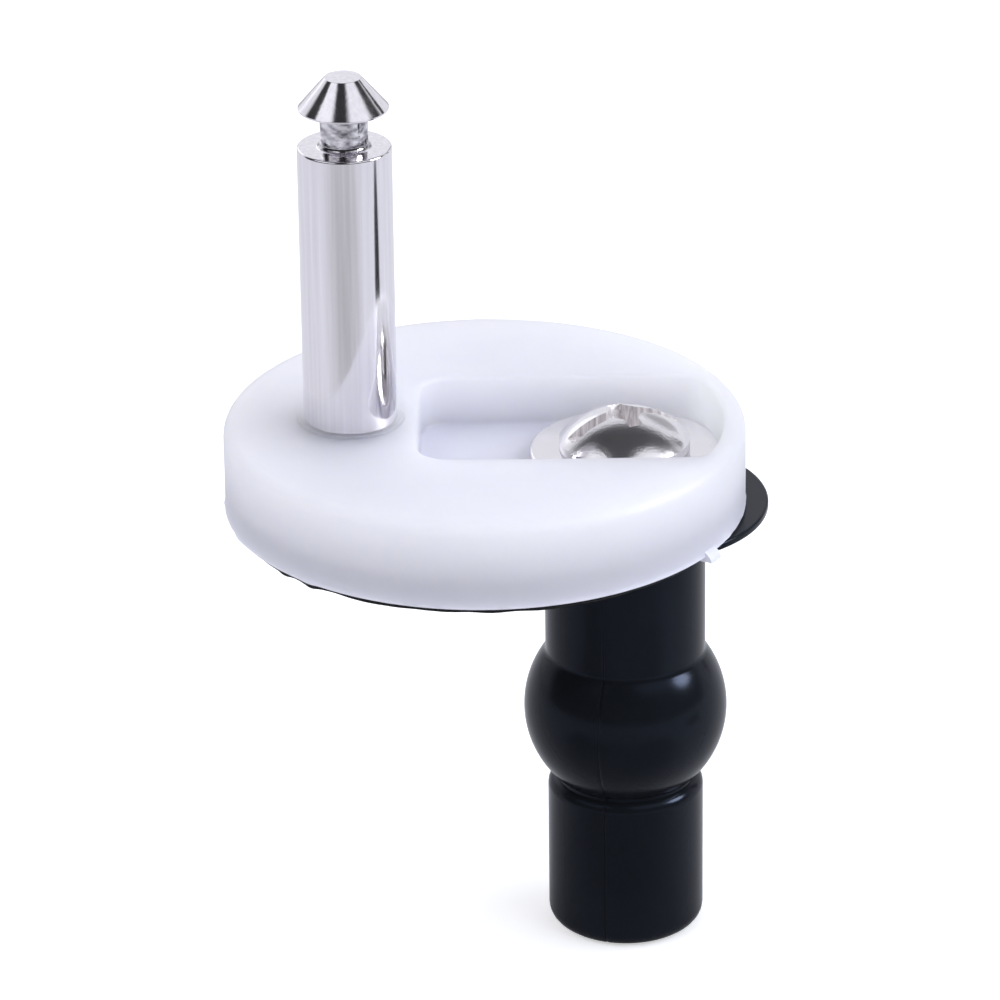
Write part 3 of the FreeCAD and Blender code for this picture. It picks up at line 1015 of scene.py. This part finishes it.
FLOOR_SIZE = 8.0
DAYLIGHT = (0.94, 0.945, 1.0)
SOFTBOX_DISTANCE = 1.2
FLAG_DISTANCE = 1.1
CARD_LIFT = 0.2 * MM
CARD_CORE = 0.3
FLOOR_GLOW = 0.5
CAMERA_LENS = 216.03
CAMERA_SENSOR = 36.0
CAMERA_NEAR = 0.01
CAMERA_FAR = 50.0
CAMERA_PITCH = 24.67
CAMERA_ROLL = -0.715
CAMERA_DISTANCE = 559.77 * MM
CAMERA_RIGHT = 1.354 * MM
CAMERA_UP = -0.679 * MM
WORLD_LEVEL = 0.38
STRIP_AZIMUTH = 79.0
STRIP_DISTANCE = 0.168

# Softboxes: name, azimuth, elevation, width, height, radiance and colour
SOFTBOXES = [
    ("left_softbox", -70, 46, 1.3, 0.7, 2.0, DAYLIGHT),
    ("right_softbox", 77, 37, 1.8, 0.9, 2.45, (0.87, 0.91, 1.0)),
    ("top_softbox", 180, 62, 1.2, 0.9, 1.2, DAYLIGHT),
]

# Hung cards: name, azimuth, elevation, width, height and level
HUNG_CARDS = [
    ("left_card", -62, 47, 1.3, 0.8, 1.15),
    ("right_card", 50, 50, 1.5, 1.0, 1.08),
    ("left_flag", -101, 33, 0.5, 0.9, 0.05),
    ("right_flag", 127, 18, 0.2, 0.9, 0.05),
    ("left_back_card", -150, 24, 0.8, 0.6, 1.5),
    ("right_back_card", 155, 24, 0.55, 0.5, 0.45),
    ("back_card", 180, 28, 1.6, 0.9, 1.0),
    ("window_card", 85, 30, 0.62, 0.5, 29.0),
]

# Cards on the floor: name, x, y, turn, width, length, level and where the fade to the edge starts
FLOOR_CARDS = [
    ("near_card", -0.01, -0.062, 0, 0.16, 0.13, 0.25, 0.3),
    ("far_card", -0.045, -0.17, 0, 0.4, 0.22, 0.6, 0.05),
]


def place_camera():
    """Camera at the photograph's view, looking down on the disc from the front."""
    pitch = math.radians(CAMERA_PITCH)
    roll = math.radians(CAMERA_ROLL)
    right = Vector((1, 0, 0))
    forward = Vector((0, math.cos(pitch), -math.sin(pitch)))
    above = Vector((0, math.sin(pitch), math.cos(pitch)))
    target = Vector((disc_x, 0, under_z))
    place = target - forward * CAMERA_DISTANCE + right * CAMERA_RIGHT + above * CAMERA_UP
    across = right * math.cos(roll) + above * math.sin(roll)
    upright = above * math.cos(roll) - right * math.sin(roll)
    matrix = Matrix((across, upright, -forward)).transposed().to_4x4()
    matrix.translation = place
    data = bpy.data.cameras.new("camera")
    data.lens = CAMERA_LENS
    data.sensor_width = CAMERA_SENSOR
    data.clip_start = CAMERA_NEAR
    data.clip_end = CAMERA_FAR
    camera = bpy.data.objects.new("camera", data)
    camera.matrix_world = matrix
    bpy.context.scene.collection.objects.link(camera)
    bpy.context.scene.camera = camera


def lay_floor():
    """White paper floor: bright where it is seen, plain where it only throws light back."""
    material, tree = new_material("white_paper")
    path = add(tree, "ShaderNodeLightPath")
    seen = add(
        tree, "ShaderNodeMath",
        {0: path.outputs["Is Camera Ray"], 1: path.outputs["Is Transmission Ray"]},
        operation="MAXIMUM",
    )
    paper = add(tree, "ShaderNodeBsdfDiffuse", {"Color": linear("#E6E6E8")})
    lift = add(tree, "ShaderNodeMath", {0: seen.outputs["Value"], 1: FLOOR_GLOW}, operation="MULTIPLY")
    glow = add(tree, "ShaderNodeEmission", {"Color": (1, 1, 1, 1), "Strength": lift.outputs["Value"]})
    both = add(tree, "ShaderNodeAddShader", {0: paper.outputs["BSDF"], 1: glow.outputs["Emission"]})
    add(tree, "ShaderNodeOutputMaterial", {"Surface": both.outputs["Shader"]})
    bm = bmesh.new()
    place = Matrix.Translation((0, 0, plug_low.z))
    bmesh.ops.create_grid(bm, x_segments=1, y_segments=1, size=FLOOR_SIZE / 2, matrix=place)
    mesh = bpy.data.meshes.new("floor")
    bm.to_mesh(mesh)
    bm.free()
    mesh.materials.append(material)
    floor = bpy.data.objects.new("floor", mesh)
    bpy.context.scene.collection.objects.link(floor)


def toward(azimuth, elevation, distance):
    """Place seen from the hinge at an azimuth, from the front towards the right, and an elevation."""
    a = math.radians(azimuth)
    e = math.radians(elevation)
    return Vector((math.sin(a) * math.cos(e), -math.cos(a) * math.cos(e), math.sin(e))) * distance


def facing(place):
    """Turn that points an object's back, its -Z side, from a place to the hinge."""
    return (-place).to_track_quat("-Z", "Y").to_matrix().to_4x4()


def hang_softbox(name, azimuth, elevation, width, height, radiance, colour):
    """A rectangular softbox of an even, slightly blue brightness, which reflections don't see."""
    data = bpy.data.lights.new(name, "AREA")
    data.shape = "RECTANGLE"
    data.size = width
    data.size_y = height
    data.energy = radiance * math.pi * width * height
    data.color = colour
    place = toward(azimuth, elevation, SOFTBOX_DISTANCE)
    lamp = bpy.data.objects.new(name, data)
    lamp.matrix_world = Matrix.Translation(place) @ facing(place)
    lamp.visible_camera = False
    lamp.visible_glossy = False
    bpy.context.scene.collection.objects.link(lamp)


def set_card(name, stand, width, height, level, core):
    """A soft-edged card that only reflections see, which gives bright metal its dark and light bands."""
    material, tree = new_material(name)
    sheet = add(tree, "ShaderNodeTexCoord").outputs["UV"]
    apart = add(tree, "ShaderNodeVectorMath", {0: sheet, 1: (0.5, 0.5, 0.0)}, operation="DISTANCE")
    fade = add(
        tree, "ShaderNodeMapRange",
        {"Value": apart.outputs["Value"], "From Min": core, "From Max": 0.5},
        interpolation_type="SMOOTHSTEP",
    )
    tone = add(tree, "ShaderNodeEmission", {"Color": (*DAYLIGHT, 1), "Strength": level})
    clear = add(tree, "ShaderNodeBsdfTransparent")
    card_shader = add(
        tree, "ShaderNodeMixShader",
        {0: fade.outputs["Result"], 1: tone.outputs["Emission"], 2: clear.outputs["BSDF"]},
    )
    add(tree, "ShaderNodeOutputMaterial", {"Surface": card_shader.outputs["Shader"]})
    bm = bmesh.new()
    bm.loops.layers.uv.new("sheet")
    bmesh.ops.create_grid(bm, x_segments=1, y_segments=1, size=0.5, calc_uvs=True)
    bmesh.ops.transform(bm, matrix=stand @ Matrix.Diagonal((width, height, 1, 1)), verts=bm.verts)
    mesh = bpy.data.meshes.new(name)
    bm.to_mesh(mesh)
    bm.free()
    mesh.materials.append(material)
    card = bpy.data.objects.new(name, mesh)
    card.visible_camera = False
    card.visible_diffuse = False
    card.visible_shadow = False
    bpy.context.scene.collection.objects.link(card)


def hang_flag(name, azimuth, elevation, width, height, level):
    """A card hung round the hinge."""
    place = toward(azimuth, elevation, FLAG_DISTANCE)
    set_card(name, Matrix.Translation(place) @ facing(place), width, height, level, CARD_CORE)


def lay_card(name, x, y, turned, width, length, level, core):
    """A card laid on the floor."""
    place = Matrix.Translation((x, y, plug_low.z + CARD_LIFT))
    set_card(name, place @ Matrix.Rotation(math.radians(turned), 4, "Z"), width, length, level, core)


def light_world(level):
    """White where it is seen, a plain level of light, and in reflections a room dark in front and above."""
    world = bpy.data.worlds.new("studio")
    world.use_nodes = True
    tree = world.node_tree
    tree.nodes.clear()
    path = add(tree, "ShaderNodeLightPath")
    direction = add(tree, "ShaderNodeTexCoord").outputs["Generated"]
    split = add(tree, "ShaderNodeSeparateXYZ", {"Vector": direction})
    back = add(
        tree, "ShaderNodeMath",
        {0: split.outputs["Z"], 1: -0.5, 2: split.outputs["Y"]},
        operation="MULTIPLY_ADD",
    )
    mirrored = add(
        tree, "ShaderNodeMapRange",
        {"Value": back.outputs["Value"], "From Min": 0.03, "From Max": 0.28, "To Min": 0.04, "To Max": 0.95},
        interpolation_type="SMOOTHSTEP",
    )
    lit = add(
        tree, "ShaderNodeMix",
        {"Factor": path.outputs["Is Glossy Ray"], "A": level, "B": mirrored.outputs["Result"]},
    )
    seen = add(
        tree, "ShaderNodeMath",
        {0: path.outputs["Is Camera Ray"], 1: path.outputs["Is Transmission Ray"]},
        operation="MAXIMUM",
    )
    strength = add(
        tree, "ShaderNodeMix",
        {"Factor": seen.outputs["Value"], "A": lit.outputs["Result"], "B": 1.0},
    )
    tint = add(
        tree, "ShaderNodeMix",
        {"Factor": seen.outputs["Value"], "A": (*DAYLIGHT, 1), "B": (1, 1, 1, 1)},
        data_type="RGBA",
    )
    backdrop = add(
        tree, "ShaderNodeBackground",
        {"Color": tint.outputs["Result"], "Strength": strength.outputs["Result"]},
    )
    add(tree, "ShaderNodeOutputWorld", {"Surface": backdrop.outputs["Background"]})
    bpy.context.scene.world = world


plastic = white_polypropylene()
nickel = nickel_plate()
steel = stainless_steel()
rubber = black_rubber()

base_moulding(plastic)
gate_stub(plastic)
base_pad(gasket_rubber())
turned_pin(nickel)
pan_head_screw(steel, punched_steel_painted_light())
screw_thread(steel)
punched_washer(steel)
rubber_plug(rubber)
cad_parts["plug_nut"].material_slots[0].material = zinc_plate()

place_camera()
lay_floor()
light_world(WORLD_LEVEL)
for softbox in SOFTBOXES:
    hang_softbox(*softbox)
for card in HUNG_CARDS:
    hang_flag(*card)
for card in FLOOR_CARDS:
    lay_card(*card)
strip = toward(STRIP_AZIMUTH, 0, STRIP_DISTANCE)
lay_card("strip_card", pin_x + strip.x, strip.y, STRIP_AZIMUTH - 180, 0.05, 0.1, 0.03, 0.35)
bpy.context.scene.view_settings.view_transform = "Standard"
